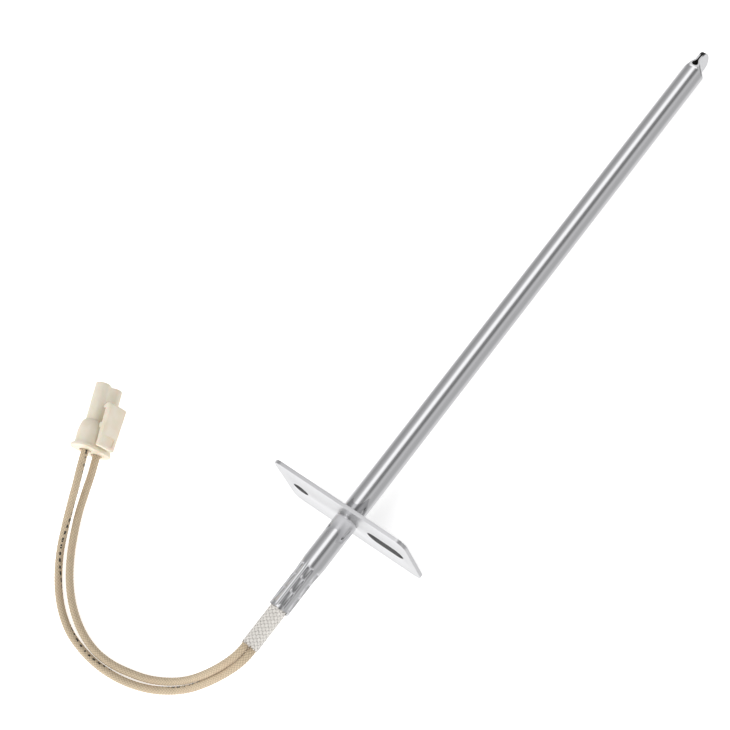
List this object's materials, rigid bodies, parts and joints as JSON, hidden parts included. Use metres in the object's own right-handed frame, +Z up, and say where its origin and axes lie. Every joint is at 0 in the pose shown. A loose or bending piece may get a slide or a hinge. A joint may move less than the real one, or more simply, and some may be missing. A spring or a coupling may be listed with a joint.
{
  "type": "oven temperature sensor probe",
  "caption": "Resistance temperature sensor in a steel tube with a pinched tip, a mounting flange, a crimped rear end, braided leads and a latching plug.",
  "frame": {"origin": "middle of the underside of the sensor's own box (leads and plug left out), on the surface it lies on", "axes": "+Y along the probe towards its tip, +X along the flange towards its slot, +Z up from the surface"},
  "size_m": [0.1096, 0.233, 0.025],
  "materials": {
    "stainless_steel": "bright drawn tube",
    "satin_steel": "satin plate",
    "white_fibreglass": "coarse braid",
    "beige_braid": "fine varnished braid",
    "ivory_nylon": "moulded",
    "nickel": "drawn wire",
    "tinned_brass": "tinned",
    "alumina_ceramic": "fired ceramic",
    "ceramic_cement": "set cement"
  },
  "bodies": {
    "probe": {"probe_sheath": "stainless_steel", "mounting_flange": "satin_steel", "fibreglass_sleeve": "white_fibreglass", "lead_a_held": "beige_braid", "lead_b_held": "beige_braid", "sensing_element": "alumina_ceramic", "element_wire_a": "nickel", "element_wire_b": "nickel", "splice_barrel_a": "tinned_brass", "splice_barrel_b": "tinned_brass", "conductor_a_inner": "nickel", "conductor_b_inner": "nickel", "splice_insulator": "alumina_ceramic", "tip_potting": "ceramic_cement", "lead_a": "beige_braid", "lead_b": "beige_braid", "plug_housing": "ivory_nylon", "terminal_a": "tinned_brass", "terminal_b": "tinned_brass", "conductor_a_plug": "nickel", "conductor_b_plug": "nickel"},
    "latch": {"plug_latch": "ivory_nylon"}
  },
  "joints": [
    {"name": "latch_rock", "type": "hinge", "parent": "probe", "child": "latch", "pos_m": [-0.07714, -0.07764, 0.0069], "axis": [0.3395, 0.1583, -0.9272], "range_deg": [0, 5], "stiffness_Nm_per_rad": 0.02}
  ]
}
